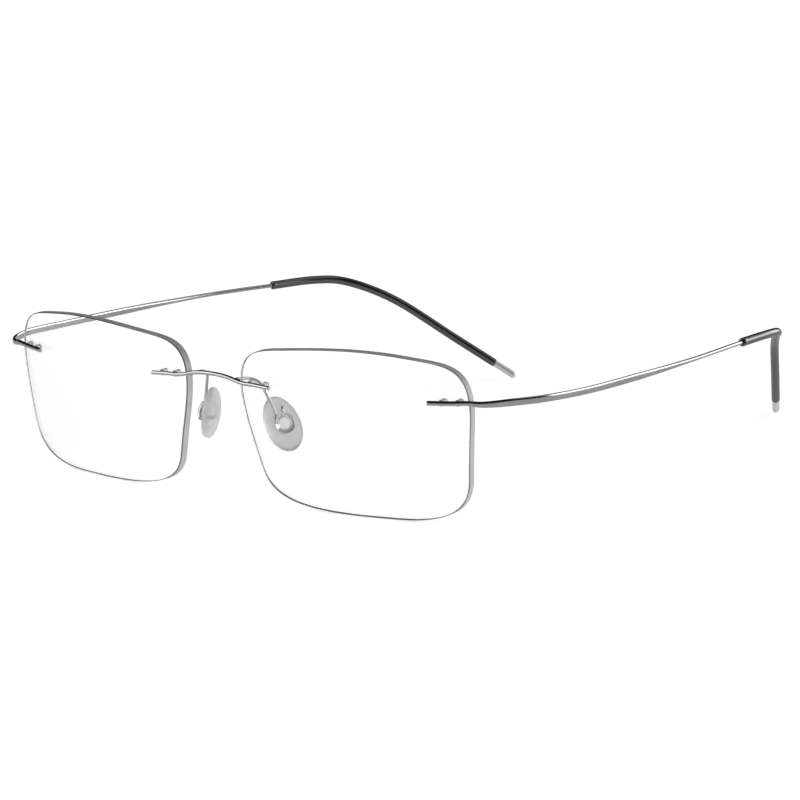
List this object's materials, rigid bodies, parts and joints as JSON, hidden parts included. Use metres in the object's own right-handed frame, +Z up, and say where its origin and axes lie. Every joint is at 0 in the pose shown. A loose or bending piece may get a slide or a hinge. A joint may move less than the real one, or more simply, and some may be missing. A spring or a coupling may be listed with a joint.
{
  "type": "rimless eyeglasses",
  "caption": "Rimless eyeglasses: curved clear lenses pinned to a wire bridge and hingeless spring wire temples, with silicone nose pads and ear sleeves.",
  "frame": {"origin": "middle of the overall box, on the surface that the glasses stand on", "axes": "+X towards the wearer's left, -Y where the wearer looks, +Z up"},
  "size_m": [0.1448, 0.1245, 0.0326],
  "materials": {
    "lens": "clear, with a ground edge",
    "titanium": "polished titanium wire",
    "silver": "satin silver cap",
    "sleeve": "glossy black silicone",
    "silicone": "translucent clear silicone",
    "bushing": "clear moulded plastic"
  },
  "bodies": {
    "front": {"bridge_wire": "titanium", "left_lens": "lens", "left_bridge_bushing_inner": "bushing", "left_bridge_bushing_outer": "bushing", "left_temple_bushing_inner": "bushing", "left_temple_bushing_outer": "bushing", "left_bridge_pin_inner": "titanium", "left_bridge_pin_outer": "titanium", "left_temple_pin_inner": "titanium", "left_temple_pin_outer": "titanium", "left_end_piece": "titanium", "left_pad_arm": "titanium", "right_lens": "lens", "right_bridge_bushing_inner": "bushing", "right_bridge_bushing_outer": "bushing", "right_temple_bushing_inner": "bushing", "right_temple_bushing_outer": "bushing", "right_bridge_pin_inner": "titanium", "right_bridge_pin_outer": "titanium", "right_temple_pin_inner": "titanium", "right_temple_pin_outer": "titanium", "right_end_piece": "titanium", "right_pad_arm": "titanium"},
    "left_temple": {"left_temple_wire": "titanium", "left_temple_sleeve": "sleeve", "left_temple_tip": "silver"},
    "left_pad": {"left_nose_pad": "silicone"},
    "right_temple": {"right_temple_wire": "titanium", "right_temple_sleeve": "sleeve", "right_temple_tip": "silver"},
    "right_pad": {"right_nose_pad": "silicone"}
  },
  "joints": [
    {"name": "left_temple_flex", "type": "hinge", "parent": "front", "child": "left_temple", "pos_m": [0.0689, -0.04912, 0.02409], "axis": [0, 0, -1], "range_deg": [-10, 15], "stiffness_Nm_per_rad": 0.05},
    {"name": "right_temple_flex", "type": "hinge", "parent": "front", "child": "right_temple", "pos_m": [-0.0689, -0.04912, 0.02409], "axis": [0, 0, 1], "range_deg": [-10, 15], "stiffness_Nm_per_rad": 0.05},
    {"name": "left_pad_rock", "type": "hinge", "parent": "front", "child": "left_pad", "pos_m": [0.01124, -0.05283, 0.01489], "axis": [-0.3261, -0.1931, 0.9254], "range_deg": [-5, 5], "stiffness_Nm_per_rad": 0.0006},
    {"name": "right_pad_rock", "type": "hinge", "parent": "front", "child": "right_pad", "pos_m": [-0.01124, -0.05283, 0.01489], "axis": [0.3261, -0.1931, 0.9254], "range_deg": [-5, 5], "stiffness_Nm_per_rad": 0.0006}
  ]
}
